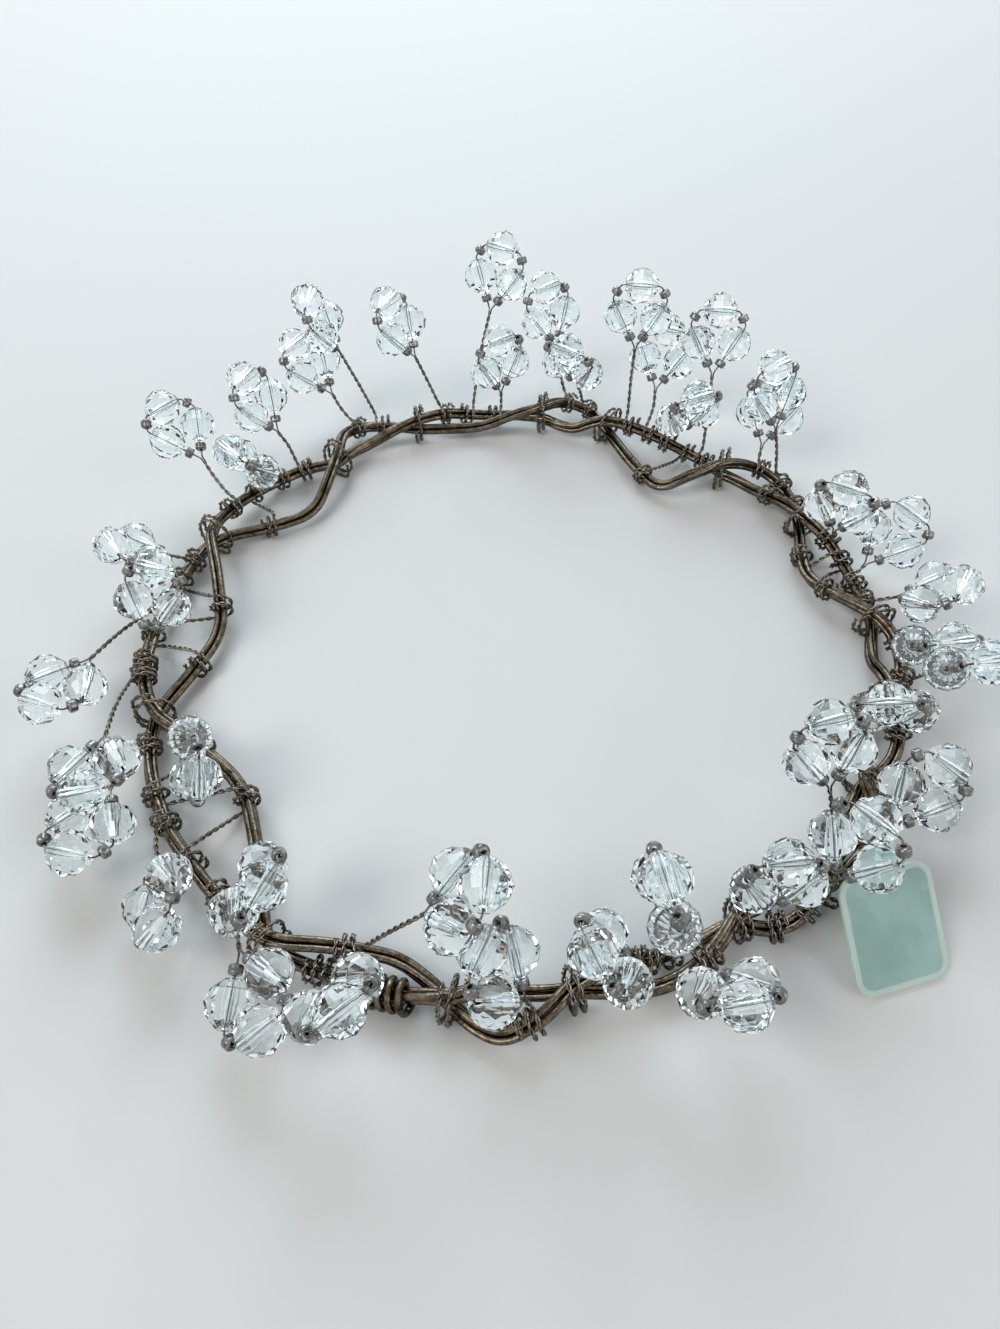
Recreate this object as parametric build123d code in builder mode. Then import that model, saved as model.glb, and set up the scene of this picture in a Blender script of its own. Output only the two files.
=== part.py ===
"""Candle ring: two bundles of wire woven round each other, with sprays of faceted beads on
twisted stems and a small bare tag. Millimetres, +Z up, origin at the ring's centre on the table."""

import os
from math import acos, atan2, cos, degrees, pi, radians, sin, sqrt, tan

from build123d import *

# Frame
ring_radius = 70.0
frame_wire = 1.2
wires_in_bundle = 3
wire_gap = 0.12
crossing_gap = 0.3
bundle_twist = 17.0
end_gap = 0.7

# Thin twisted wire, shown as a round tube of the pair's diameter
strand_wire = 0.4
strand_gap = 0.03
turn_gap = 0.5
wrap_gap = 0.16
splice_gap = 0.2
tie_slack = 0.35
table_gap = 0.05

# Beads
bead_diameter = 7.6
bead_length = 7.0
bead_bore = 1.2
bead_gap = 0.2
bead_seat = 0.15
bead_sides = 12
bead_profile_shares = ((-0.5, 0.36), (-0.27, 0.83), (0, 1), (0.27, 0.83), (0.5, 0.36))
seed_diameter = 2.3
seed_length = 1.6
seed_bore = 0.9
seed_edge = 0.45
seed_place_share = 0.635
loop_bend = 1.2
loop_lead = 0.8
loop_angle = 30

# Sprays
spray_height = 33.0
straight_stem = 5.0
stem_bow_share = 0.06
stem_turns = 2

# Tag
tag_width = 15.5
tag_length = 18.5
tag_thickness = 0.7
tag_corner = 2.75
neck_width = 6.0
neck_corner = 1.2
neck_height = 4.0
tag_wire = 0.6
tag_wire_gap = 0.28
eye_clearance = 0.6
eye_bow = 1.4
eye_reach = 11.3
eye_lean = 17
tag_tilt = 39.7
tag_heading = 15.7
tag_place = 318.4

# Sizes that follow from those above
pair_wire = 2 * (strand_wire + strand_gap)
pair_radius = pair_wire / 2
wire_offset = (frame_wire + wire_gap) / sqrt(wires_in_bundle)
bundle_radius = wire_offset + frame_wire / 2
half_stack = bundle_radius + crossing_gap / 2
wrap_radius = bundle_radius + wrap_gap + pair_radius
tie_radius = half_stack + wrap_radius + tie_slack
splice_radius = bundle_radius + splice_gap + frame_wire / 2
stack_height = tie_radius + pair_radius
low_height = splice_radius + frame_wire / 2 + table_gap
pair_pitch = pair_wire + turn_gap
splice_pitch = frame_wire + turn_gap
bend_share = 0.485
widest_bend = 60 * pair_wire
strand_offset = (strand_wire + strand_gap) / 2
long_side = bead_length + 2 * (bead_seat + loop_bend * tan(radians(loop_angle)))
corner_side = bead_diameter + bead_gap - long_side / 2
flank_side = long_side + corner_side - 2 * strand_offset
bead_place = flank_side - long_side / 2
seed_place = seed_place_share * (bead_place - bead_length / 2)
far_reach = loop_lead + (flank_side + corner_side) * cos(radians(loop_angle))
near_reach = loop_lead + bead_place * cos(radians(loop_angle))
middle_reach = (2 * near_reach + far_reach) / 3

# Windows between the two bundles, counter-clockwise: degrees of the crossing that a window
# starts at, the crossing's radius, the outer and the inner bulge as shares of the ring's
# radius, and where the bulge peaks as a share of the window.
window_shares = (
    (4, 1.02, 1.03, 0.90, 0.50),
    (28, 1.01, 1.11, 1.015, 0.60),
    (47, 1.00, 1.01, 0.80, 0.28),
    (71, 1.01, 1.12, 0.985, 0.50),
    (84, 1.03, 1.04, 0.97, 0.50),
    (108, 1.01, 1.10, 1.00, 0.55),
    (126, 0.96, 1.03, 0.82, 0.45),
    (155, 1.01, 1.01, 0.815, 0.55),
    (195, 0.98, 1.02, 0.81, 0.45),
    (238, 1.04, 1.02, 0.94, 0.66),
    (262, 1.01, 1.075, 0.975, 0.42),
    (277, 0.98, 1.02, 0.95, 0.50),
    (301, 0.95, 1.03, 0.955, 0.50),
    (314, 1.03, 1.05, 0.96, 0.50),
    (332, 0.97, 1.04, 0.95, 0.50),
    (349, 1.01, 1.07, 0.985, 0.50),
)
bulge_share = 0.62
shoulder_share = 0.45
rise_share = 0.78
splice_window = 9
weave_start = 10

# Sprays: degrees of the stem's wrap, the bundle that it is on, then the cluster's degrees,
# radius as a share of the ring's, height as a share of the tallest and roll in degrees.
spray_shares = {
    "01": (
        (9, "outer", 3, 1.15, 0.42, 0),
        (13, "outer", 16.5, 1.16, 0.34, 10),
        (22, "outer", 19, 0.98, 0.58, 0),
    ),
    "02": (
        (42, "outer", 45.5, 1.185, 0.47, 0),
        (37.5, "outer", 43.5, 1.10, 0.73, 0),
    ),
    "03": (
        (59, "outer", 54, 0.95, 0.55, 0),
        (51, "outer", 56.5, 1.165, 0.85, 0),
        (62.5, "outer", 64.8, 1.185, 0.58, 0),
        (66.5, "outer", 69, 1.12, 0.94, 0),
    ),
    "04": (
        (79.5, "outer", 84, 1.19, 0.76, 0),
        (75.5, "outer", 79, 1.00, 0.61, 0),
        (98.5, "outer", 92, 1.22, 1.00, 0),
        (93, "outer", 92, 1.06, 0.53, 0),
    ),
    "05": (
        (102.5, "outer", 109, 1.14, 0.79, 0),
        (114, "outer", 121, 1.17, 0.91, 0),
        (118.5, "outer", 122.8, 1.24, 0.53, 0),
    ),
    "06": (
        (132, "outer", 135, 1.125, 0.61, 0),
        (137, "outer", 143.5, 1.015, 0.42, 0),
        (149, "outer", 146, 1.24, 0.55, 0),
    ),
    "07": (
        (161, "outer", 167.5, 1.10, 0.37, 0),
        (185, "outer", 178, 0.96, 0.46, 0),
        (173, "outer", 193, 1.17, 0.39, 0),
    ),
    "08": (
        (188, "outer", 209, 1.11, 0.48, 10),
        (200, "outer", 212, 1.18, 0.24, 0),
        (201, "inner", 212, 0.90, 0.35, 70),
    ),
    "09": (
        (214, "outer", 226, 1.13, 0.27, 50),
        (229, "outer", 237, 1.00, 0.55, 10),
        (232.7, "outer", 242.5, 1.165, 0.30, 30),
    ),
    "10": (
        (245, "outer", 252, 1.13, 0.55, 10),
        (247, "inner", 263.5, 0.93, 0.86, 0),
        (271.5, "outer", 267.5, 1.00, 0.50, 0),
    ),
    "11": (
        (287, "inner", 280.5, 0.985, 0.47, 0),
        (290.5, "inner", 287, 0.955, 0.82, 10),
        (294.5, "outer", 292, 1.125, 0.46, 0),
    ),
    "12": (
        (305, "outer", 304.5, 0.98, 0.50, 0),
        (309.5, "outer", 313.5, 1.04, 0.64, 0),
    ),
    "13": (
        (323, "outer", 330, 1.10, 0.39, 40),
        (322, "inner", 323, 0.87, 0.67, -20),
        (342.5, "outer", 338.5, 0.97, 0.47, 40),
    ),
    "14": (
        (359.5, "outer", 353, 1.10, 0.43, 0),
        (353.5, "outer", 343.5, 1.12, 0.73, 0),
    ),
}

# Lacing: for each laced window, the bundle and the degrees of each wrap on its way.
lacing_degrees = {
    "right": (
        (("inner", 21.5), ("outer", 17.5), ("inner", 12)),
        (("outer", 33), ("inner", 37)),
    ),
    "back": (
        (("outer", 55), ("inner", 59.5)),
        (("outer", 143), ("inner", 147.5)),
    ),
    "left": (
        (("outer", 165.5), ("inner", 171.5), ("outer", 178.5), ("inner", 185)),
        (("inner", 205.2), ("outer", 209), ("inner", 217), ("outer", 222)),
    ),
}
lacing_quarters = 7
tie_quarters = 7
splice_quarters = 18

Z = Vector(0, 0, 1)


def spot(turn, radius, height):
    """Point at so many degrees round the ring, from +X towards +Y."""
    return Vector(radius * cos(radians(turn)), radius * sin(radians(turn)), height)


def apart(turn, other):
    """Degrees from one place round the ring to another, between -180 and 180."""
    return (turn - other + 180) % 360 - 180


def round_angle(point):
    """Degrees round the ring at which a point lies."""
    return degrees(atan2(point.Y, point.X))


def bend(before, corner, after):
    """Angle in radians through which a path turns at a corner."""
    first = (corner - before).normalized()
    second = (after - corner).normalized()
    return acos(max(-1, min(1, first.dot(second))))


def bend_radii(corners):
    """Largest arcs that the runs of an open path allow, one for each inner corner."""
    radii = []
    for before, corner, after in zip(corners, corners[1:], corners[2:]):
        reach = bend_share * min((corner - before).length, (after - corner).length)
        radii.append(min(reach / tan(bend(before, corner, after) / 2), widest_bend))
    return radii


def bundle_corners(name):
    """Corners of a bundle's centre line: each window gives its crossing, two shoulders and
    the peak of the bulge. The hoop is the outer bundle in the odd windows."""
    corners = []
    for index, (turn, radius, outer, inner, peak) in enumerate(window_shares):
        after = window_shares[(index + 1) % len(window_shares)]
        span = (after[0] - turn) % 360
        over = 1 if (name == "hoop") == (index % 2 == 0) else -1
        outside = (name == "hoop") == (index % 2 == 1)
        bulge = outer if outside else inner
        start_height = stack_height + over * half_stack
        end_height = stack_height - over * half_stack
        start_shoulder = low_height + rise_share * (start_height - low_height)
        end_shoulder = low_height + rise_share * (end_height - low_height)
        stations = (
            (0, 0, start_height),
            (peak * shoulder_share, bulge_share, start_shoulder),
            (peak, 1, low_height),
            (1 - (1 - peak) * shoulder_share, bulge_share, end_shoulder),
        )
        for along, out, height in stations:
            base = radius + (after[1] - radius) * along
            share = base + out * (bulge - base)
            corners.append(spot(turn + span * along, share * ring_radius, height))
    return corners


def wire_corners(centre, number):
    """Corners of one wire of a bundle: the centre line's corners moved out along an offset
    that turns slowly about it, so that the wires lie together with a slight twist."""
    corners = []
    for index, corner in enumerate(centre):
        before = centre[index - 1]
        after = centre[(index + 1) % len(centre)]
        along = ((corner - before).normalized() + (after - corner).normalized()).normalized()
        out = Vector(along.Y, -along.X, 0).normalized()
        up = out.cross(along)
        phase = radians(number * 360 / wires_in_bundle + index * bundle_twist)
        widen = 1 / cos(bend(before, corner, after) / 2)
        corners.append(corner + out * (wire_offset * widen * cos(phase)) + up * (wire_offset * sin(phase)))
    return corners


def cut_open(corners, start):
    """The corners of a closed route as an open path that starts and ends at one of them,
    with a small gap between its two ends."""
    path = corners[start:] + corners[:start] + [corners[start]]
    path[0] = path[0] + (path[1] - path[0]).normalized() * (end_gap / 2)
    path[-1] = path[-1] + (path[-2] - path[-1]).normalized() * (end_gap / 2)
    return path


def place_on(route, turn):
    """Point of a route at so many degrees round the ring, with the way that the route runs."""
    for edge in route:
        behind = apart(round_angle(edge @ 0), turn)
        ahead = apart(round_angle(edge @ 1), turn)
        if behind * ahead > 0 or abs(behind) > 90:
            continue
        low, high = 0.0, 1.0
        for _ in range(30):
            middle = (low + high) / 2
            if apart(round_angle(edge @ middle), turn) * behind > 0:
                low = middle
            else:
                high = middle
        point, run = edge @ low, edge % low
        return point, run if point.cross(run).Z > 0 else run * -1
    raise ValueError(f"no point of the route at {turn} degrees")


def bundle_at(side, turn):
    """Place on the outer or the inner of the two bundles."""
    places = [place_on(route, turn) for route in (hoop_edges, weave_edges)]
    places.sort(key=lambda place: (place[0] - Z * place[0].Z).length)
    return places[-1] if side == "outer" else places[0]


def wound_corners(centre, run, aside, radius, pitch, diameter, quarters, ends=(True, True), rise=0):
    """Corners, a quarter turn apart, of a wire wound square round a place of a bundle. It
    comes over the top towards aside and goes down there first. Rise makes the turns taller
    than they are wide. An end that is asked for runs straight."""
    up = aside.cross(run)
    up = up if up.Z > 0 else up * -1
    corners = []
    for quarter in range(-1, quarters + 1):
        angle = radians(45 - 90 * quarter)
        ahead = pitch * (quarter - (quarters - 1) / 2) / 4
        side = 1 if cos(angle) > 0 else -1
        level = 1 if sin(angle) > 0 else -1
        corners.append(centre + aside * (side * radius) + up * (level * (radius + rise)) + run * ahead)
    straight = 2 * bend_share * radius + diameter
    first = corners[1] + (corners[0] - corners[1]).normalized() * straight
    last = corners[-2] + (corners[-1] - corners[-2]).normalized() * straight
    return [first] * ends[0] + corners[1:-1] + [last] * ends[1]


def tube(corners, diameter, radii=None):
    """A round wire swept along straight runs and arcs, with its least gap to itself."""
    with BuildPart() as wire:
        with BuildLine() as path:
            FilletPolyline(*corners, radius=radii or bend_radii(corners))
        with BuildSketch(Plane(origin=path.line @ 0, z_dir=path.line % 0)):
            Circle(diameter / 2)
        sweep(path=path.line)
    return wire.part, least_gap(path.wire(), diameter)


def least_gap(path, diameter):
    """Least gap between a wound tube and itself, measured on points along its centre line."""
    steps = max(40, int(path.length / diameter * 2))
    points = [path @ (step / steps) for step in range(steps + 1)]
    skip = int(steps * pi * diameter / path.length) + 1
    gaps = [
        (points[first] - points[second]).length
        for first in range(steps + 1)
        for second in range(first + skip, steps + 1)
    ]
    return min(gaps) - diameter if gaps else diameter


# Centre lines of the two bundles
hoop_centre = bundle_corners("hoop")
weave_centre = bundle_corners("weave")
routes = []
for centre in (hoop_centre, weave_centre):
    closed = centre[-1:] + centre + centre[:1]
    with BuildLine() as route:
        FilletPolyline(*centre, radius=bend_radii(closed), close=True)
    routes.append(route.edges())
hoop_edges, weave_edges = routes

os.makedirs("parts", exist_ok=True)
wound_gaps = {}


def finish(part, name):
    """Label a finished piece and write it."""
    part.label = name
    export_step(part, f"parts/{name}.step")


# Frame wires: open tubes whose ends meet under the splice wrap and under a crossing's tie
for name, centre, start in (
    ("hoop", hoop_centre, splice_window * 4 + 2),
    ("weave", weave_centre, weave_start * 4),
):
    for number in range(wires_in_bundle):
        corners = cut_open(wire_corners(centre, number), start)
        with BuildPart() as frame_tube:
            with BuildLine() as path:
                FilletPolyline(*corners, radius=bend_radii(corners))
            with BuildSketch(Plane(origin=path.line @ 0, z_dir=path.line % 0)):
                Circle(frame_wire / 2)
            sweep(path=path.line)
        finish(frame_tube.part, f"{name}_wire_{number + 1}")

# Splice wrap: heavy wire wound round the hoop where its ends meet
splice_turn = round_angle(hoop_centre[splice_window * 4 + 2])
centre, run = place_on(hoop_edges, splice_turn)
aside = Vector(run.Y, -run.X, 0).normalized()
corners = wound_corners(
    centre, run, aside, splice_radius, splice_pitch, frame_wire, splice_quarters
)
splice_coil, wound_gaps["splice"] = tube(corners, frame_wire)
with BuildPart() as splice_wrap:
    add(splice_coil)
finish(splice_wrap.part, "splice_wrap")

# Crossing ties: a short coil of thin wire round both bundles at each crossing
coils = []
for window in window_shares:
    hoop_point, hoop_run = place_on(hoop_edges, window[0])
    weave_point, weave_run = place_on(weave_edges, window[0])
    spread = radians(hoop_run.get_angle(weave_run)) / 2
    reach = pair_pitch * tie_quarters / 8 + pair_radius
    between = hoop_point - weave_point
    width = bundle_radius / cos(spread) + reach * tan(spread) + wrap_gap + tie_slack + pair_radius
    width = min(width + sqrt(between.X**2 + between.Y**2) / 2, tie_radius)
    run = (hoop_run + weave_run).normalized()
    run = Vector(run.X, run.Y, 0).normalized()
    aside = Vector(run.Y, -run.X, 0)
    centre = (hoop_point + weave_point) * 0.5
    centre = Vector(centre.X, centre.Y, stack_height)
    corners = wound_corners(
        centre, run, aside, width, pair_pitch, pair_wire, tie_quarters, rise=tie_radius - width
    )
    coil, gap = tube(corners, pair_wire)
    coils.append(coil)
    wound_gaps[f"tie at {window[0]}"] = gap
with BuildPart() as crossing_ties:
    add(coils)
finish(crossing_ties.part, "crossing_ties")

# Lacing: one thin wire a window, wound round one bundle and then the other
for name, windows in lacing_degrees.items():
    strands = []
    for wraps in windows:
        corners = []
        for index, (side, turn) in enumerate(wraps):
            centre, run = bundle_at(side, turn)
            run = run * (1 if wraps[-1][1] > wraps[0][1] else -1)
            aside = Vector(run.Y, -run.X, 0).normalized()
            aside = aside * (1 if (aside.dot(centre) > 0) == (side == "outer") else -1)
            ends = (index == 0, index == len(wraps) - 1)
            coil = wound_corners(
                centre, run, aside, wrap_radius, pair_pitch, pair_wire, lacing_quarters, ends
            )
            if not ends[0]:
                back = run * (pair_pitch * (lacing_quarters + 3) / 8)
                coil = [centre - aside * wrap_radius + Z * wrap_radius - back] + coil
            corners += coil
        strand, gap = tube(corners, pair_wire)
        strands.append(strand)
        wound_gaps[f"lacing at {wraps[0][1]}"] = gap
    with BuildPart() as lacing:
        add(strands)
    finish(lacing.part, f"lacing_{name}")

# Bead: a faceted barrel with a bore, and a small round seed
with BuildPart() as bead:
    for along, out in bead_profile_shares:
        with BuildSketch(Plane.XY.offset(along * bead_length)):
            RegularPolygon(out * bead_diameter / 2, bead_sides)
    loft(ruled=True)
    Hole(bead_bore / 2, depth=bead_length)
with BuildPart() as seed:
    Cylinder(seed_diameter / 2, seed_length)
    fillet(seed.edges(), seed_edge)
    Hole(seed_bore / 2, depth=seed_length)

# Sprays: stems wound on a bundle, each ending in a loop with three beads and four seeds
free_stems = {}
for name, clusters in spray_shares.items():
    bead_places = []
    seed_places = []
    stems = []
    for turn, side, end_turn, end_share, height_share, roll in clusters:
        target = spot(end_turn, end_share * ring_radius, height_share * spray_height)
        centre, run = bundle_at(side, turn)
        run = run * (1 if run.dot(target - centre) > 0 else -1)
        aside = Vector(run.Y, -run.X, 0).normalized()
        aside = aside * (1 if aside.dot(target - centre) > 0 else -1)
        up = aside.cross(run)
        up = up if up.Z > 0 else up * -1
        quarters = 4 * stem_turns
        corners = wound_corners(
            centre, run, aside, wrap_radius, pair_pitch, pair_wire, quarters, (True, False)
        )
        over = centre + run * (pair_pitch * (quarters + 1) / 8)
        corners.append(over + up * wrap_radius + aside * (bulge_share * wrap_radius))
        free = (target - corners[-1]).length - middle_reach
        if free > straight_stem:
            toward = (target - corners[-1]).normalized()
            corners.append(corners[-1] + toward * (free / 2) + Z * (stem_bow_share * free))
        heading = (target - corners[-1]).normalized()
        stem_end = target - heading * middle_reach
        corners.append(stem_end)
        stem, gap = tube(corners, pair_wire)
        wound_gaps[f"stem at {turn}"] = gap
        free_stems[turn] = (corners[-1] - corners[-2]).length
        flat = Z.cross(heading).normalized()
        across = flat * cos(radians(roll)) + heading.cross(flat) * sin(radians(roll))
        lean = radians(loop_angle)
        sides = (
            (1, heading * cos(lean) + across * sin(lean)),
            (-1, heading * cos(lean) - across * sin(lean)),
        )
        halves = []
        for sign, way in sides:
            turned = heading * (2 * cos(lean)) - way
            start = stem_end + across * (sign * strand_offset)
            root = start + heading * loop_lead
            tip = root + way * flank_side
            halves.append([start, root, tip, tip + turned * corner_side])
            bead_places.append((root + way * bead_place, way))
            seed_places.append((root + way * seed_place, way))
            seed_places.append((tip + turned * (corner_side / 2), turned))
        bead_places.append((stem_end + heading * far_reach, across))
        corners = halves[0] + halves[1][::-1]
        loop, gap = tube(corners, strand_wire, [min(loop_bend, r) for r in bend_radii(corners)])
        stems += [stem, loop]
    with BuildPart() as spray_wire:
        add(stems)
    finish(spray_wire.part, f"spray_wire_{name}")
    for kind, places, shape in (("crystals", bead_places, bead), ("seeds", seed_places, seed)):
        with BuildPart() as threaded:
            with Locations(*(Plane(origin=point, z_dir=axis) for point, axis in places)):
                add(shape.part)
        finish(threaded.part, f"spray_{kind}_{name}")

# Tag: a thin plate with a narrow neck, hung by a wire loop through its eye and round the hoop
width_way = Vector(cos(radians(tag_heading)), sin(radians(tag_heading)), 0)
outward = width_way.cross(Z)
rise = outward * -cos(radians(tag_tilt)) + Z * sin(radians(tag_tilt))
face = outward * sin(radians(tag_tilt)) + Z * cos(radians(tag_tilt))
held, held_run = place_on(hoop_edges, tag_place)
slant = 1 / abs(held_run.normalized().dot(width_way))
ring_reach = slant * bundle_radius + tag_wire_gap + tag_wire / 2
eye = held + (outward * sin(radians(eye_lean)) + Z * cos(radians(eye_lean))) * eye_reach
eye_margin = neck_height / 2
past_neck = eye_margin + eye_bow - tag_wire / 2
loop_corners = [
    held - outward * ring_reach - Z * ring_reach,
    held + outward * ring_reach - Z * ring_reach,
    eye - face * eye_bow,
    eye + face * eye_bow,
    eye + face * eye_bow + rise * past_neck,
    eye - face * (eye_bow / 2) + rise * past_neck,
    held - outward * ring_reach + Z * ring_reach,
]
closed = loop_corners[-1:] + loop_corners + loop_corners[:1]
with BuildPart() as tag_tie:
    with BuildLine() as path:
        FilletPolyline(
            *loop_corners, radius=[min(r, ring_reach) for r in bend_radii(closed)], close=True
        )
    with BuildSketch(Plane(origin=path.line @ 0, z_dir=path.line % 0)):
        Circle(tag_wire / 2)
    sweep(path=path.line)
finish(tag_tie.part, "tag_tie")

tag_middle = -eye_margin - tag_length / 2
with BuildPart() as hang_tag:
    with BuildSketch(Plane(origin=eye - face * (tag_thickness / 2), x_dir=width_way, z_dir=face)):
        with Locations((0, tag_middle)):
            RectangleRounded(tag_width, tag_length, tag_corner)
        with Locations((0, eye_margin - neck_height)):
            RectangleRounded(neck_width, 2 * neck_height, neck_corner)
        Circle(tag_wire / 2 + eye_clearance, mode=Mode.SUBTRACT)
    extrude(amount=tag_thickness)
finish(hang_tag.part, "hang_tag")

for kind, measured in (("gap between a wound wire and itself", wound_gaps), ("last run", free_stems)):
    place = min(measured, key=measured.get)
    print(f"least {kind}: {measured[place]:.2f} mm, {place}")
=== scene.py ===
"""Candle ring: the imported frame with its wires, beads, seeds and tag finished as the real ones.

Lengths are worked out in millimetres with the same tables as the part's source and put into
the meshes in metres."""

from itertools import accumulate
from math import cos, pi, radians, sin, sqrt, tan

import bpy
import numpy as np
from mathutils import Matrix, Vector


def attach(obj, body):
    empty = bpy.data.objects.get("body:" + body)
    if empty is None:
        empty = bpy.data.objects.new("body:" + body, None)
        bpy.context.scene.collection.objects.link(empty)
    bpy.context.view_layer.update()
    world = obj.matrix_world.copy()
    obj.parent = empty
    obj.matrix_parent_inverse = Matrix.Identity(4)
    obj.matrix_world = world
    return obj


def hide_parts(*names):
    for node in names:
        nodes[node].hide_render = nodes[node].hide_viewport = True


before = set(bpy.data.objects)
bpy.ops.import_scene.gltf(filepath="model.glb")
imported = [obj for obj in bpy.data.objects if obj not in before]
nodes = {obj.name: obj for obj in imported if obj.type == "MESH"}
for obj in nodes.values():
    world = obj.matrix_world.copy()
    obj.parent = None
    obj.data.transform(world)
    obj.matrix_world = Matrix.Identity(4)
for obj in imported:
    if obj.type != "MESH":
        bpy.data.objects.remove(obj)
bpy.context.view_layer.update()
MM = 0.001
UP = np.array((0.0, 0.0, 1.0))

# Sizes, in millimetres, with angles in degrees
ring_radius = 70.0
frame_wire = 1.2
wires_in_bundle = 3
wire_gap = 0.12
crossing_gap = 0.3
strand_wire = 0.4
strand_gap = 0.03
turn_gap = 0.5
wrap_gap = 0.16
splice_gap = 0.2
tie_slack = 0.35
table_gap = 0.05
bead_diameter = 7.6
bead_length = 7.0
bead_gap = 0.2
bead_seat = 0.15
loop_bend = 1.2
loop_lead = 0.8
loop_angle = 30
spray_height = 33.0
straight_stem = 5.0
stem_bow_share = 0.06
stem_turns = 2
tag_width = 15.5
tag_length = 18.5
tag_corner = 2.75
neck_height = 4.0
eye_reach = 11.3
eye_lean = 17
tag_tilt = 39.7
tag_heading = 15.7
tag_place = 318.4
twist_pitch = 3.2
bundle_twist = 17
splice_window = 9
groove_wire = 0.34
curl_turn = 271.5
curl_radius = 1.5
curl_lift = 0.2
curl_angles = np.arange(315, 0, -45)
uneven_turn = 0.2
uneven_stem = 0.55
rim_width = (0.7, 1.05)

# Sizes that follow
pair_wire = 2 * (strand_wire + strand_gap)
pair_radius = pair_wire / 2
wire_offset = (frame_wire + wire_gap) / sqrt(wires_in_bundle)
bundle_radius = wire_offset + frame_wire / 2
half_stack = bundle_radius + crossing_gap / 2
wrap_radius = bundle_radius + wrap_gap + pair_radius
tie_radius = half_stack + wrap_radius + tie_slack
splice_radius = bundle_radius + splice_gap + frame_wire / 2
stack_height = tie_radius + pair_radius
low_height = splice_radius + frame_wire / 2 + table_gap
pair_pitch = pair_wire + turn_gap
bend_share = 0.485
widest_bend = 60 * pair_wire
strand_offset = (strand_wire + strand_gap) / 2
long_side = bead_length + 2 * (bead_seat + loop_bend * tan(radians(loop_angle)))
corner_side = bead_diameter + bead_gap - long_side / 2
flank_side = long_side + corner_side - 2 * strand_offset
bead_place = flank_side - long_side / 2
far_reach = loop_lead + (flank_side + corner_side) * cos(radians(loop_angle))
near_reach = loop_lead + bead_place * cos(radians(loop_angle))
middle_reach = (2 * near_reach + far_reach) / 3

# Windows between the two bundles: degrees of the crossing, its radius, outer and inner bulge
# as shares of the ring's radius, and the place of the peak as a share of the window
window_shares = (
    (4, 1.02, 1.03, 0.90, 0.50),
    (28, 1.01, 1.11, 1.015, 0.60),
    (47, 1.00, 1.01, 0.80, 0.28),
    (71, 1.01, 1.12, 0.985, 0.50),
    (84, 1.03, 1.04, 0.97, 0.50),
    (108, 1.01, 1.10, 1.00, 0.55),
    (126, 0.96, 1.03, 0.82, 0.45),
    (155, 1.01, 1.01, 0.815, 0.55),
    (195, 0.98, 1.02, 0.81, 0.45),
    (238, 1.04, 1.02, 0.94, 0.66),
    (262, 1.01, 1.075, 0.975, 0.42),
    (277, 0.98, 1.02, 0.95, 0.50),
    (301, 0.95, 1.03, 0.955, 0.50),
    (314, 1.03, 1.05, 0.96, 0.50),
    (332, 0.97, 1.04, 0.95, 0.50),
    (349, 1.01, 1.07, 0.985, 0.50),
)
bulge_share = 0.62
shoulder_share = 0.45
rise_share = 0.78
stations_a_window = 4

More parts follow.
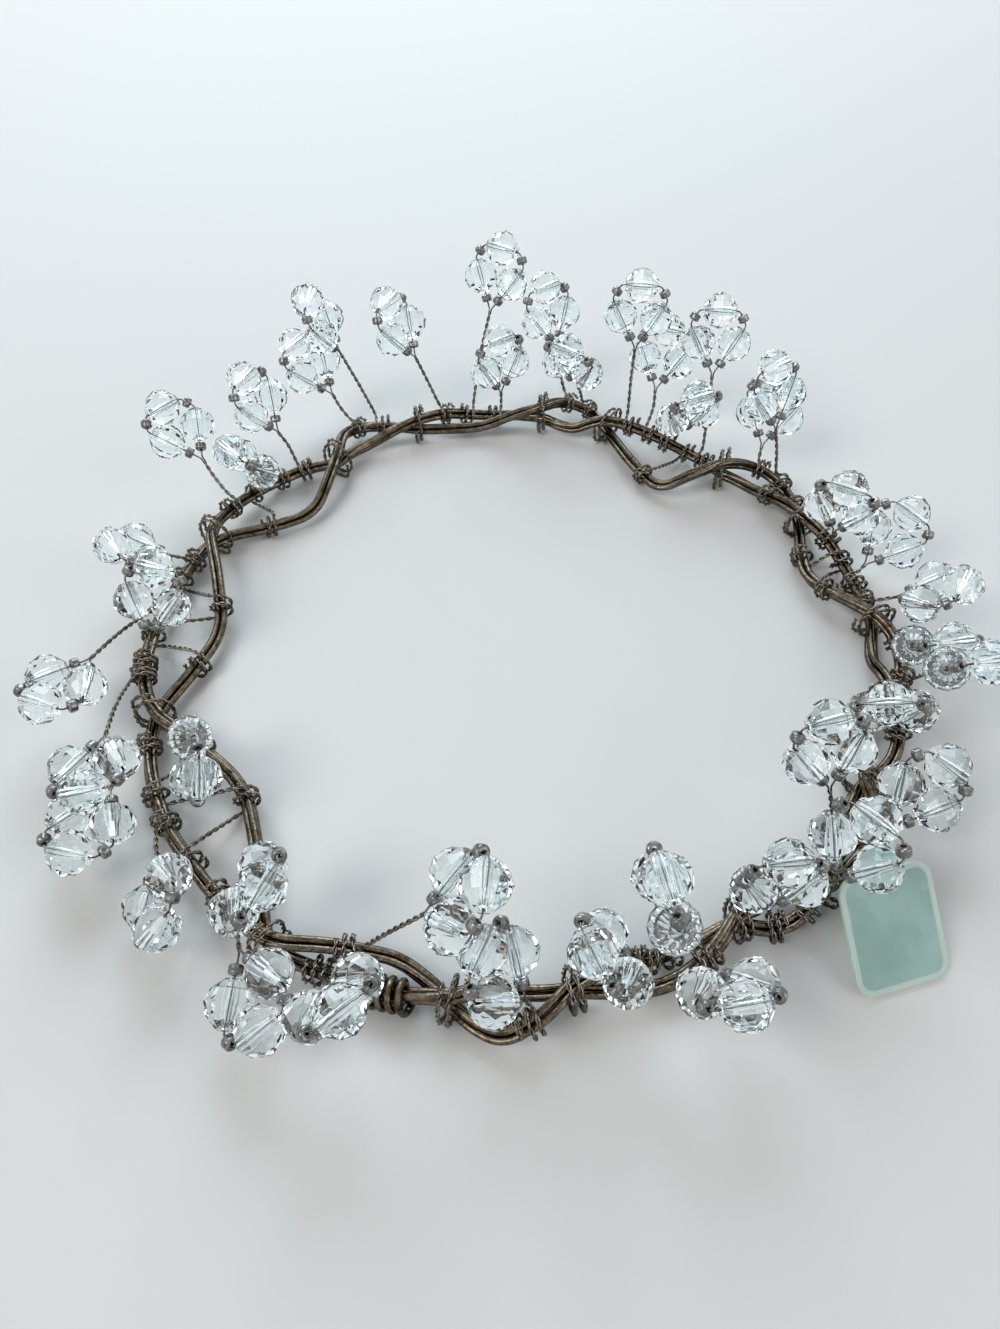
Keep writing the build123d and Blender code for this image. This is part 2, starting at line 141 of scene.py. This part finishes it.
# Sprays: degrees of the stem's wrap, its bundle, then the cluster's degrees, radius as a
# share of the ring's, height as a share of the tallest, and roll in degrees
spray_shares = {
    "01": (
        (9, "outer", 3, 1.15, 0.42, 0),
        (13, "outer", 16.5, 1.16, 0.34, 10),
        (22, "outer", 19, 0.98, 0.58, 0),
    ),
    "02": (
        (42, "outer", 45.5, 1.185, 0.47, 0),
        (37.5, "outer", 43.5, 1.10, 0.73, 0),
    ),
    "03": (
        (59, "outer", 54, 0.95, 0.55, 0),
        (51, "outer", 56.5, 1.165, 0.85, 0),
        (62.5, "outer", 64.8, 1.185, 0.58, 0),
        (66.5, "outer", 69, 1.12, 0.94, 0),
    ),
    "04": (
        (79.5, "outer", 84, 1.19, 0.76, 0),
        (75.5, "outer", 79, 1.00, 0.61, 0),
        (98.5, "outer", 92, 1.22, 1.00, 0),
        (93, "outer", 92, 1.06, 0.53, 0),
    ),
    "05": (
        (102.5, "outer", 109, 1.14, 0.79, 0),
        (114, "outer", 121, 1.17, 0.91, 0),
        (118.5, "outer", 122.8, 1.24, 0.53, 0),
    ),
    "06": (
        (132, "outer", 135, 1.125, 0.61, 0),
        (137, "outer", 143.5, 1.015, 0.42, 0),
        (149, "outer", 146, 1.24, 0.55, 0),
    ),
    "07": (
        (161, "outer", 167.5, 1.10, 0.37, 0),
        (185, "outer", 178, 0.96, 0.46, 0),
        (173, "outer", 193, 1.17, 0.39, 0),
    ),
    "08": (
        (188, "outer", 209, 1.11, 0.48, 10),
        (200, "outer", 212, 1.18, 0.24, 0),
        (201, "inner", 212, 0.90, 0.35, 70),
    ),
    "09": (
        (214, "outer", 226, 1.13, 0.27, 50),
        (229, "outer", 237, 1.00, 0.55, 10),
        (232.7, "outer", 242.5, 1.165, 0.30, 30),
    ),
    "10": (
        (245, "outer", 252, 1.13, 0.55, 10),
        (247, "inner", 263.5, 0.93, 0.86, 0),
        (271.5, "outer", 267.5, 1.00, 0.50, 0),
    ),
    "11": (
        (287, "inner", 280.5, 0.985, 0.47, 0),
        (290.5, "inner", 287, 0.955, 0.82, 10),
        (294.5, "outer", 292, 1.125, 0.46, 0),
    ),
    "12": (
        (305, "outer", 304.5, 0.98, 0.50, 0),
        (309.5, "outer", 313.5, 1.04, 0.64, 0),
    ),
    "13": (
        (323, "outer", 330, 1.10, 0.39, 40),
        (322, "inner", 323, 0.87, 0.67, -20),
        (342.5, "outer", 338.5, 0.97, 0.47, 40),
    ),
    "14": (
        (359.5, "outer", 353, 1.10, 0.43, 0),
        (353.5, "outer", 343.5, 1.12, 0.73, 0),
    ),
}

# Lacing: for each laced window, the bundle and the degrees of each wrap on its way
lacing_degrees = {
    "right": (
        (("inner", 21.5), ("outer", 17.5), ("inner", 12)),
        (("outer", 33), ("inner", 37)),
    ),
    "back": (
        (("outer", 55), ("inner", 59.5)),
        (("outer", 143), ("inner", 147.5)),
    ),
    "left": (
        (("outer", 165.5), ("inner", 171.5), ("outer", 178.5), ("inner", 185)),
        (("inner", 205.2), ("outer", 209), ("inner", 217), ("outer", 222)),
    ),
}
lacing_quarters = 7
tie_quarters = 7

# Distances between the rings of a tube, in millimetres, and the sides of each
route_step, strand_step, loop_step, groove_step = 0.05, 0.25, 0.35, 0.5
strand_sides, loop_sides = 7, 8

# A path whose first run rises more steeply than this share takes its first normal from +X
steep_share = 0.9

# Degrees past a route's first point where it is read, clear of its doubled end
route_lead = 8

# Smooth noise lies mostly between these values
noise_reach = (0.3, 0.7)

# Small shifts of the wound wires, the same in each run
hand = np.random.default_rng(5)


def unit(vectors):
    """Vectors divided by their lengths."""
    return vectors / np.linalg.norm(vectors, axis=-1, keepdims=True)


def turned(vectors, axes, angles):
    """Vectors turned about unit axes: v cos a + (k x v) sin a + k (k . v)(1 - cos a)."""
    c, s = np.cos(angles)[..., None], np.sin(angles)[..., None]
    along = np.sum(axes * vectors, axis=-1, keepdims=True)
    return vectors * c + np.cross(axes, vectors) * s + axes * along * (1 - c)


def rounded_path(corners, step, bends=None):
    """Stations at an even step along straight runs joined by tangent arcs. Each arc has the
    radius r = reach / tan(half turn), at a distance r / cos(half turn) from its corner.
    Returns points, tangents, one normal carried along without spin, and distances."""
    corners = np.asarray(corners, float)
    runs = np.diff(corners, axis=0)
    lengths = np.linalg.norm(runs, axis=1)
    ways = runs / lengths[:, None]
    half = np.arccos(np.clip(np.sum(ways[:-1] * ways[1:], axis=1), -1, 1)) / 2
    reach = bend_share * np.minimum(lengths[:-1], lengths[1:])
    radii = np.minimum(reach / np.tan(half), widest_bend)
    if bends is not None:
        radii = np.minimum(radii, bends)
    cut = radii * np.tan(half)
    starts = corners[1:-1] - ways[:-1] * cut[:, None]
    axes = unit(np.cross(ways[:-1], ways[1:]))
    inward = np.cross(axes, ways[:-1])
    centres = starts + inward * radii[:, None]
    straight = lengths - np.append(cut, 0) - np.insert(cut, 0, 0)
    curved = radii * 2 * half
    pieces = np.zeros(2 * len(straight) - 1)
    pieces[0::2], pieces[1::2] = straight, curved
    breaks = np.insert(np.cumsum(pieces), 0, 0)
    count = max(2, int(round(breaks[-1] / step)) + 1)
    distance = np.linspace(0, breaks[-1], count)
    piece = np.clip(np.searchsorted(breaks, distance, side="right") - 1, 0, len(pieces) - 1)
    inside = distance - breaks[piece]
    run = piece // 2
    on_arc = piece % 2 == 1
    arc = np.minimum(run, len(radii) - 1)
    angle = np.where(on_arc, inside / radii[arc], 0.0)
    begin = np.vstack([corners[:1], corners[1:-1] + ways[1:] * cut[:, None]])
    flat = begin[run] + ways[run] * inside[:, None]
    spoke = turned(-inward[arc], axes[arc], angle) * radii[arc][:, None]
    points = np.where(on_arc[:, None], centres[arc] + spoke, flat)
    tangents = np.where(on_arc[:, None], turned(ways[arc], axes[arc], angle), ways[run])
    steep = abs(ways[0][2]) > steep_share
    side = np.cross(ways[0], np.array((1.0, 0, 0)) if steep else UP)
    carried = list(
        accumulate(
            zip(axes, 2 * half),
            lambda normal, bend: turned(normal, bend[0], np.array(bend[1])),
            initial=unit(side),
        )
    )
    normals = np.array(carried)[run]
    normals = np.where(on_arc[:, None], turned(normals, axes[arc], angle), normals)
    return points, tangents, normals, distance


def round_tube(path, radius, sides, offset=0.0, pitch=1.0, phase=0.0):
    """A ring of points round each station: c + r (u cos t + v sin t). With an offset a, the
    tube winds about the path at c = p + a (n cos f + b sin f), where f = 2 pi s / pitch."""
    points, tangents, normals, distance = path
    sideways = np.cross(tangents, normals)
    spin = 2 * pi * distance / pitch + phase
    c, s = np.cos(spin)[:, None], np.sin(spin)[:, None]
    out = normals * c + sideways * s
    lead = tangents + (sideways * c - normals * s) * (offset * 2 * pi / pitch)
    across = np.cross(unit(lead), out)
    middle = points + out * offset
    turn = np.linspace(0, 2 * pi, sides, endpoint=False)
    u, v = out[:, None], across[:, None]
    ring = u * np.cos(turn)[None, :, None] + v * np.sin(turn)[None, :, None]
    return middle[:, None] + ring * radius


def twisted_pair(path, phase):
    """Two strands wound about one path, half a turn apart."""
    return [
        round_tube(path, strand_wire / 2, strand_sides, strand_offset, twist_pitch, begin)
        for begin in (phase, phase + pi)
    ]


def piece_from(name, tubes, material, body, replaced):
    """One mesh from grids of rings: neighbouring rings are joined by quads, and each end is
    closed by its own ring's polygon."""
    points, faces, first = [], [], 0
    for tube in tubes:
        rings, sides = tube.shape[:2]
        index = first + np.arange(rings * sides).reshape(rings, sides)
        beside = np.roll(index, -1, axis=1)
        quads = np.stack([index[:-1], beside[:-1], beside[1:], index[1:]], axis=-1)
        faces += quads.reshape(-1, 4).tolist()
        faces += [index[0, ::-1].tolist(), index[-1].tolist()]
        points.append(tube.reshape(-1, 3))
        first += rings * sides
    mesh = bpy.data.meshes.new(name)
    mesh.from_pydata((np.vstack(points) * MM).tolist(), [], faces)
    mesh.polygons.foreach_set("use_smooth", [len(face) == 4 for face in faces])
    mesh.materials.append(material)
    made = bpy.data.objects.new(name, mesh)
    bpy.context.scene.collection.objects.link(made)
    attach(made, body)
    if replaced:
        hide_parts(*replaced)
    return made


# Routes of the two bundles


def spot(turn, radius, height):
    """Point at so many degrees round the ring, from +X towards +Y."""
    return np.array((radius * cos(radians(turn)), radius * sin(radians(turn)), height))


def bundle_corners(name):
    """Corners of a bundle's centre line: a crossing, two shoulders and a peak a window."""
    corners = []
    for index, (turn, radius, outer, inner, peak) in enumerate(window_shares):
        after = window_shares[(index + 1) % len(window_shares)]
        span = (after[0] - turn) % 360
        over = 1 if (name == "hoop") == (index % 2 == 0) else -1
        bulge = outer if (name == "hoop") == (index % 2 == 1) else inner
        start_height = stack_height + over * half_stack
        end_height = stack_height - over * half_stack
        start_shoulder = low_height + rise_share * (start_height - low_height)
        end_shoulder = low_height + rise_share * (end_height - low_height)
        stations = (
            (0, 0, start_height),
            (peak * shoulder_share, bulge_share, start_shoulder),
            (peak, 1, low_height),
            (1 - (1 - peak) * shoulder_share, bulge_share, end_shoulder),
        )
        for along, out, height in stations:
            base = radius + (after[1] - radius) * along
            share = base + out * (bulge - base)
            corners.append(spot(turn + span * along, share * ring_radius, height))
    return corners


def route_of(name):
    """A bundle's closed centre line, sampled finely, with its degrees round the ring."""
    corners = bundle_corners(name)
    points, tangents, _, _ = rounded_path(corners[-2:] + corners + corners[:2], route_step)
    turns = np.degrees(np.unwrap(np.arctan2(points[:, 1], points[:, 0])))
    return turns, points, tangents


routes = [route_of("hoop"), route_of("weave")]


def place_on(route, turn):
    """Point and tangent of a route at so many degrees round the ring."""
    turns, points, tangents = route
    start = turns[0] + route_lead
    turn = start + (turn - start) % 360
    point = np.array([np.interp(turn, turns, values) for values in points.T])
    run = np.array([np.interp(turn, turns, values) for values in tangents.T])
    return point, unit(run)


def bundle_at(side, turn):
    """Place on the outer or the inner of the two bundles."""
    places = [place_on(route, turn) for route in routes]
    places.sort(key=lambda place: np.hypot(*place[0][:2]))
    return places[-1] if side == "outer" else places[0]


def wound_corners(centre, run, aside, radius, quarters, ends=(True, True), rise=0):
    """Corners, a quarter turn apart, of the twisted pair wound square round a place of a
    bundle, each a little out of its place as wound by hand, but never inwards or downwards."""
    up = np.cross(aside, run)
    up = up if up[2] > 0 else -up
    corners = []
    for quarter in range(-1, quarters + 1):
        angle = radians(45 - 90 * quarter)
        side = 1 if cos(angle) > 0 else -1
        level = 1 if sin(angle) > 0 else -1
        ahead = pair_pitch * (quarter - (quarters - 1) / 2) / 4
        drift, swell = hand.uniform(-uneven_turn, uneven_turn), hand.uniform(0, uneven_turn)
        across = aside * (side * (radius + swell))
        upwards = up * (level * (radius + rise) + max(level, 0) * swell)
        corners.append(centre + (across + upwards) + run * (ahead + drift))
    straight = 2 * bend_share * radius + pair_wire
    first = corners[1] + unit(corners[0] - corners[1]) * straight
    last = corners[-2] + unit(corners[-1] - corners[-2]) * straight
    return [first] * ends[0] + corners[1:-1] + [last] * ends[1]


def level_side(run):
    """Level direction to the right of a run."""
    return unit(np.array((run[1], -run[0], 0.0)))


# Camera at the photograph's viewing angle
photo_height = 1329
focal_pixels = 960.0
view_height = radians(51.1)
view_distance = 187.45
view_target = np.array((-2.58, -2.78, 0.0))
lens_data = bpy.data.cameras.new("view")
lens_data.sensor_fit = "VERTICAL"
lens_data.sensor_height = 24.0
lens_data.lens = lens_data.sensor_height * focal_pixels / photo_height
lens_data.clip_start = 0.005
lens_data.clip_end = 20
camera = bpy.data.objects.new("view", lens_data)
bpy.context.scene.collection.objects.link(camera)
eye_line = np.array((0.0, -cos(view_height), sin(view_height)))
camera.location = Vector((view_target + eye_line * view_distance) * MM)
camera.rotation_euler = (pi / 2 - view_height, 0, 0)
bpy.context.scene.camera = camera
bpy.context.scene.view_settings.view_transform = "Standard"


# Shader maths


class Value:
    """A shader value: operators on it add Math nodes to its material."""

    def __init__(self, sheet, socket):
        self.sheet, self.socket = sheet, socket

    def __add__(self, other):
        return self.sheet.maths("ADD", self, other)

    def __sub__(self, other):
        return self.sheet.maths("SUBTRACT", self, other)

    def __rsub__(self, other):
        return self.sheet.maths("SUBTRACT", other, self)

    def __mul__(self, other):
        return self.sheet.maths("MULTIPLY", self, other)

    def __pow__(self, other):
        return self.sheet.maths("POWER", self, other)

    __radd__ = __add__
    __rmul__ = __mul__


class Finish:
    """A material with one surface shader, whose constants are set on its sockets."""

    def __init__(self, name, **constants):
        self.material = bpy.data.materials.new(name)
        self.material.use_nodes = True
        self.tree = self.material.node_tree
        self.shader = self.tree.nodes["Principled BSDF"]
        for socket, value in constants.items():
            self.shader.inputs[socket.replace("_", " ")].default_value = value

    def node(self, kind, settings=None, values=None, out=0):
        """Any node: its settings first, then the values or links of its sockets."""
        made = self.tree.nodes.new(kind)
        for key, value in (settings or {}).items():
            if key == "stops":
                ramp = made.color_ramp
                while len(ramp.elements) < len(value):
                    ramp.elements.new(1)
                for element, (place, colour) in zip(ramp.elements, value):
                    element.position, element.color = place, (*colour, 1)
            else:
                setattr(made, key, value)
        for key, value in (values or {}).items():
            if isinstance(value, Value):
                self.tree.links.new(value.socket, made.inputs[key])
            else:
                made.inputs[key].default_value = value
        return Value(self, made.outputs[out])

    def maths(self, operation, *values):
        """A Math node on values or numbers."""
        return self.node("ShaderNodeMath", {"operation": operation}, dict(enumerate(values)))

    def where(self):
        """Object coordinates, in metres."""
        return self.node("ShaderNodeTexCoord", out="Object")

    def noise(self, scale, detail, rough):
        """Smooth noise, its scale in features a millimetre, spread over 0 to 1."""
        spread = {"Vector": self.where(), "Scale": [1 / MM] * 3}
        place = self.node("ShaderNodeMapping", {}, spread)
        values = {"Vector": place, "Scale": scale, "Detail": detail, "Roughness": rough}
        return self.between(self.node("ShaderNodeTexNoise", {}, values), *noise_reach)

    def between(self, value, low, high, interpolation="LINEAR"):
        """How far a value has come from one number, 0, to another, 1."""
        settings = {"interpolation_type": interpolation}
        values = {"Value": value, "From Min": low, "From Max": high}
        return self.node("ShaderNodeMapRange", settings, values)

    def ramp(self, value, stops):
        """Colours by a value, each stop with its place."""
        return self.node("ShaderNodeValToRGB", {"stops": stops}, {0: value})

    def mixed(self, share, first, second):
        """Two colours mixed by a share. A Mix node has its colours at 6, 7 and output 2."""
        values = {0: share, 6: first, 7: second}
        return self.node("ShaderNodeMix", {"data_type": "RGBA"}, values, 2)

    def vector(self, operation, first, second=None, out=0):
        """Vector Math on one or two vectors."""
        values = {0: first} if second is None else {0: first, 1: list(second)}
        return self.node("ShaderNodeVectorMath", {"operation": operation}, values, out)

    def bump(self, height, depth, strength):
        """Normals of a height field, its depth in millimetres."""
        values = {"Height": height, "Distance": depth * MM, "Strength": strength}
        return self.node("ShaderNodeBump", {}, values)

    def feed(self, **links):
        """Link values to the shader's sockets and give the material."""
        for socket, value in links.items():
            self.tree.links.new(value.socket, self.shader.inputs[socket.replace("_", " ")])
        return self.material


def bronze_wire(name, dark, light, polish):
    """Antique bronze: patches of dark patina over a lighter drawn wire, with rubbed spots
    that are smoother, and fine drawing marks."""
    finish = Finish(name, Metallic=1.0)
    patina = finish.noise(0.55, detail=4, rough=0.6)
    rubbed = finish.noise(2.2, detail=3, rough=0.6)
    grain = finish.noise(9.0, detail=2, rough=0.7)
    tone = patina * 0.55 + rubbed * 0.45
    middle = tuple((a + b) / 2 for a, b in zip(dark, light))
    colour = finish.ramp(tone, ((0.12, dark), (0.5, middle), (0.88, light)))
    rough = polish + patina * 0.16 - rubbed * 0.1
    relief = finish.bump(grain * 0.5 + rubbed * 0.5, depth=0.03, strength=0.35)
    return finish.feed(Base_Color=colour, Roughness=rough, Normal=relief)


def clear_bead(name):
    """Clear moulded acrylic, faintly uneven on its facets, with a cool cast in its colour that is
    a painted cyan reflection of window light.
    """
    finish = Finish(name, Transmission_Weight=1.0, IOR=1.49)
    haze = finish.noise(0.9, detail=2, rough=0.5)
    # The cool cyan cast of these colours is a painted reflection of window light; the haze
    # between them is the plastic's own unevenness.
    colour = finish.ramp(haze, ((0.1, (0.87, 0.965, 0.99)), (0.9, (0.955, 0.99, 1.0))))
    ripple = finish.noise(0.7, detail=2, rough=0.5)
    relief = finish.bump(ripple, depth=0.05, strength=0.12)
    return finish.feed(Base_Color=colour, Roughness=haze * 0.035 + 0.01, Normal=relief)


def seed_bead(name):
    """Dark grey lined glass: smoky, nearly metallic, with brighter flecks."""
    finish = Finish(name, IOR=1.52, Coat_Roughness=0.04)
    smoke = finish.noise(1.4, detail=3, rough=0.6)
    greys = (
        (0.1, (0.07, 0.068, 0.065)),
        (0.6, (0.17, 0.165, 0.16)),
        (0.95, (0.36, 0.37, 0.37)),
    )
    return finish.feed(
        Base_Color=finish.ramp(smoke, greys),
        Roughness=smoke * 0.1 + 0.1,
        Metallic=smoke * 0.3 + 0.45,
        Coat_Weight=smoke * 0.2 + 0.6,
    )


frame_bronze = bronze_wire("frame_bronze", (0.018, 0.014, 0.011), (0.20, 0.16, 0.115), 0.17)
thin_bronze = bronze_wire("thin_bronze", (0.035, 0.03, 0.025), (0.30, 0.26, 0.21), 0.15)
clear_acrylic = clear_bead("clear_acrylic")
lined_glass = seed_bead("lined_glass")


def wear(node, material):
    """Put a finish in the slots of a CAD node's object."""
    for place in nodes[node].material_slots:
        place.material = material


for name in nodes:
    if name.startswith(("hoop_wire", "weave_wire", "splice_wrap", "tag_tie")):
        wear(name, frame_bronze)
    elif name.startswith("spray_crystals"):
        wear(name, clear_acrylic)
    elif name.startswith("spray_seeds"):
        wear(name, lined_glass)

# Crossing ties, twisted
ties = []
for window in window_shares:
    hoop_point, hoop_run = place_on(routes[0], window[0])
    weave_point, weave_run = place_on(routes[1], window[0])
    spread = np.arccos(np.clip(hoop_run @ weave_run, -1, 1)) / 2
    reach = pair_pitch * tie_quarters / 8 + pair_radius
    between = np.hypot(*(hoop_point - weave_point)[:2])
    width = bundle_radius / cos(spread) + reach * tan(spread) + wrap_gap + tie_slack + pair_radius
    width = min(width + between / 2, tie_radius)
    run = unit((hoop_run + weave_run) * (1, 1, 0))
    centre = (hoop_point + weave_point) / 2
    centre[2] = stack_height
    aside = level_side(run)
    rise = tie_radius - width
    corners = wound_corners(centre, run, aside, width, tie_quarters, rise=rise)
    ties += twisted_pair(rounded_path(corners, strand_step), window[0])
piece_from("twisted_ties", ties, thin_bronze, "ring", ["crossing_ties"])

# Fine straight strands in the grooves of the hoop bundle, through the splice wrap. Each
# touches two of the bundle's wires, so how far out it lies follows from their spacing
centre_line = bundle_corners("hoop")
first_station = stations_a_window * splice_window
halfway = wire_offset * cos(pi / wires_in_bundle)
half_spacing = wire_offset * sin(pi / wires_in_bundle)
touching = (frame_wire + groove_wire) / 2
groove_offset = halfway + sqrt(touching ** 2 - half_spacing ** 2)
groove_strands = []
for number in range(wires_in_bundle):
    corners = []
    for index in range(first_station, first_station + stations_a_window + 1):
        before, corner, after = centre_line[index - 1:index + 2]
        along = unit(unit(corner - before) + unit(after - corner))
        phase = radians((number + 0.5) * 360 / wires_in_bundle + index * bundle_twist)
        widen = 1 / cos(np.arccos(unit(corner - before) @ unit(after - corner)) / 2)
        out = level_side(along)
        sideways = out * (groove_offset * widen * cos(phase))
        corners.append(corner + sideways + np.cross(out, along) * (groove_offset * sin(phase)))
    groove = rounded_path(corners, groove_step)
    groove_strands.append(round_tube(groove, groove_wire / 2, loop_sides))
piece_from("groove_strands", groove_strands, thin_bronze, "ring", [])

# Lacing, twisted
for name, windows in lacing_degrees.items():
    strands = []
    for wraps in windows:
        corners = []
        for index, (side, turn) in enumerate(wraps):
            centre, run = bundle_at(side, turn)
            run = run * (1 if wraps[-1][1] > wraps[0][1] else -1)
            aside = level_side(run)
            aside = aside * (1 if (aside @ centre > 0) == (side == "outer") else -1)
            ends = (index == 0, index == len(wraps) - 1)
            coil = wound_corners(centre, run, aside, wrap_radius, lacing_quarters, ends)
            if not ends[0]:
                back = run * (pair_pitch * (lacing_quarters + 3) / 8)
                coil = [centre - aside * wrap_radius + UP * wrap_radius - back] + coil
            corners += coil
        strands += twisted_pair(rounded_path(corners, strand_step), wraps[0][1])
    laced = f"lacing_{name}"
    piece_from(f"twisted_{laced}", strands, thin_bronze, "ring", [laced])

# Stems and loops: the pair's two strands part at the stem's end and go round the loop
for name, clusters in spray_shares.items():
    strands = []
    for turn, side, end_turn, end_share, height_share, roll in clusters:
        target = spot(end_turn, end_share * ring_radius, height_share * spray_height)
        centre, run = bundle_at(side, turn)
        run = run * (1 if run @ (target - centre) > 0 else -1)
        aside = level_side(run)
        aside = aside * (1 if aside @ (target - centre) > 0 else -1)
        up = np.cross(aside, run)
        up = up if up[2] > 0 else -up
        quarters = 4 * stem_turns
        corners = wound_corners(centre, run, aside, wrap_radius, quarters, (True, False))
        over = centre + run * (pair_pitch * (quarters + 1) / 8)
        corners.append(over + up * wrap_radius + aside * (bulge_share * wrap_radius))
        free = np.linalg.norm(target - corners[-1]) - middle_reach
        if free > straight_stem:
            toward = unit(target - corners[-1])
            corners.append(corners[-1] + toward * (free / 2) + UP * (stem_bow_share * free))
        heading = unit(target - corners[-1])
        stem_end = target - heading * middle_reach
        flat = unit(np.cross(UP, heading))
        if free > straight_stem:
            corners[-1] = corners[-1] + flat * hand.uniform(-uneven_stem, uneven_stem)
        corners.append(stem_end)
        if turn == curl_turn:
            away = unit(corners[0] - corners[1])
            arc = np.radians(curl_angles)[:, None]
            circle = away * np.sin(arc) + UP * (1 - np.cos(arc)) - run * (arc * curl_lift)
            corners = list(corners[0] + circle * curl_radius) + corners
        across = flat * cos(radians(roll)) + np.cross(heading, flat) * sin(radians(roll))
        path = rounded_path(corners, strand_step)
        normal = path[2][-1]
        aligned = np.arctan2(across @ np.cross(path[1][-1], normal), across @ normal)
        strands += twisted_pair(path, aligned - 2 * pi * path[3][-1] / twist_pitch)
        lean = radians(loop_angle)
        halves = []
        for sign in (1, -1):
            way = heading * cos(lean) + across * (sign * sin(lean))
            folded = heading * cos(lean) - across * (sign * sin(lean))
            start = stem_end + across * (sign * strand_offset)
            root = start + heading * loop_lead
            tip = root + way * flank_side
            halves.append([start, root, tip, tip + folded * corner_side])
        loop = rounded_path(halves[0] + halves[1][::-1], loop_step, loop_bend)
        strands.append(round_tube(loop, strand_wire / 2, loop_sides))
    replaced = [f"spray_wire_{name}"]
    piece_from(f"twisted_spray_{name}", strands, thin_bronze, "ring", replaced)

# Tag: milky green plastic with a paler rim, worked out from the plate's own outline
width_way = np.array((cos(radians(tag_heading)), sin(radians(tag_heading)), 0.0))
outward = np.cross(width_way, UP)
rise = UP * sin(radians(tag_tilt)) - outward * cos(radians(tag_tilt))
held = place_on(routes[0], tag_place)[0]
eye = held + (outward * sin(radians(eye_lean)) + UP * cos(radians(eye_lean))) * eye_reach
middle = eye - rise * (neck_height / 2 + tag_length / 2)


def milky_plastic(name):
    """Clouded translucent plastic. The depth from the rounded edge is the corner's radius
    less the hypotenuse of what lies past the corner's centre, along the width and length."""
    finish = Finish(name, IOR=1.46, Subsurface_Weight=0.35, Subsurface_Scale=0.0015)
    offset = finish.vector("SUBTRACT", finish.where(), middle * MM)
    past = []
    for way, size in ((width_way, tag_width), (rise, tag_length)):
        along = finish.vector("DOT_PRODUCT", offset, way, "Value")
        beyond = finish.maths("ABSOLUTE", along) * (1 / MM) - (size / 2 - tag_corner)
        past.append(finish.maths("MAXIMUM", beyond, 0.0) ** 2)
    depth = tag_corner - (past[0] + past[1]) ** 0.5
    rim = finish.between(depth, rim_width[1], rim_width[0], "SMOOTHSTEP")
    cloud = finish.noise(0.12, detail=3, rough=0.5)
    core = finish.ramp(cloud, ((0.1, (0.27, 0.435, 0.40)), (0.9, (0.38, 0.555, 0.515))))
    colour = finish.mixed(rim, core, (0.53, 0.68, 0.62, 1))
    relief = finish.bump(cloud * 0.4 + rim * 0.6, depth=0.1, strength=0.4)
    return finish.feed(Base_Color=colour, Roughness=cloud * 0.08 + 0.24, Normal=relief)


wear("hang_tag", milky_plastic("milky_plastic"))

# Floor, which runs out into the backdrop's colour
backdrop = (0.9, 0.9, 0.9)
floor_half = 3
near_floor, far_floor = 0.25, 0.8
corners = [(x * floor_half, y * floor_half, 0) for x, y in ((-1, -1), (1, -1), (1, 1), (-1, 1))]
floor_mesh = bpy.data.meshes.new("floor")
floor_mesh.from_pydata(corners, [], [(0, 1, 2, 3)])
floor = bpy.data.objects.new("floor", floor_mesh)
bpy.context.scene.collection.objects.link(floor)
plain = Finish("plain_floor", Roughness=0.7, Specular_IOR_Level=0.2, Emission_Strength=1.0)
outwards = plain.vector("LENGTH", plain.where(), out="Value")
dark, pale_floor, far_glow = (0.0, 0.0, 0.0), (0.72, 0.71, 0.69), (0.8, 0.8, 0.8)
plain.feed(
    Base_Color=plain.ramp(outwards, ((near_floor, pale_floor), (far_floor, dark))),
    Emission_Color=plain.ramp(outwards, ((near_floor, dark), (far_floor, far_glow))),
)
floor_mesh.materials.append(plain.material)

# World: camera, glossy and transmission rays meet the pale backdrop, others a dimmer glow
world = bpy.data.worlds.new("studio")
bpy.context.scene.world = world
world.use_nodes = True
sky = world.node_tree
glow = sky.nodes["Background"]
rays = sky.nodes.new("ShaderNodeLightPath")
pale = sky.nodes.new("ShaderNodeBackground")
pale.inputs["Color"].default_value = (*backdrop, 1)
glow.inputs["Color"].default_value = (0.75, 0.78, 0.82, 1)
glow.inputs["Strength"].default_value = 0.42
pick = sky.nodes.new("ShaderNodeMixShader")
seen = [rays.outputs[f"Is {kind} Ray"] for kind in ("Camera", "Glossy", "Transmission")]
for other in (1, 2):
    both = sky.nodes.new("ShaderNodeMath")
    both.operation = "MAXIMUM"
    sky.links.new(seen[0], both.inputs[0])
    sky.links.new(seen[other], both.inputs[1])
    seen[0] = both.outputs[0]
sky.links.new(seen[0], pick.inputs[0])
sky.links.new(glow.outputs[0], pick.inputs[1])
sky.links.new(pale.outputs[0], pick.inputs[2])
sky.links.new(pick.outputs[0], sky.nodes["World Output"].inputs["Surface"])


def lamp(name, place, size, watts, colour):
    """A soft square lamp aimed at the middle of the ring, its place and size in metres."""
    data = bpy.data.lights.new(name, "AREA")
    data.shape, data.size, data.energy, data.color = "SQUARE", size, watts, colour
    made = bpy.data.objects.new(name, data)
    bpy.context.scene.collection.objects.link(made)
    made.location = place
    made.rotation_euler = (-Vector(place)).to_track_quat("-Z", "Y").to_euler()


lamp("back_light", (-0.1, 0.75, 0.6), size=0.7, watts=7.2, colour=(0.74, 0.90, 1.0))
lamp("key", (-0.6, -0.35, 0.8), size=0.45, watts=3.8, colour=(1.0, 0.97, 0.93))
lamp("fill", (0.7, -0.3, 0.5), size=0.6, watts=1.5, colour=(1.0, 0.98, 0.96))
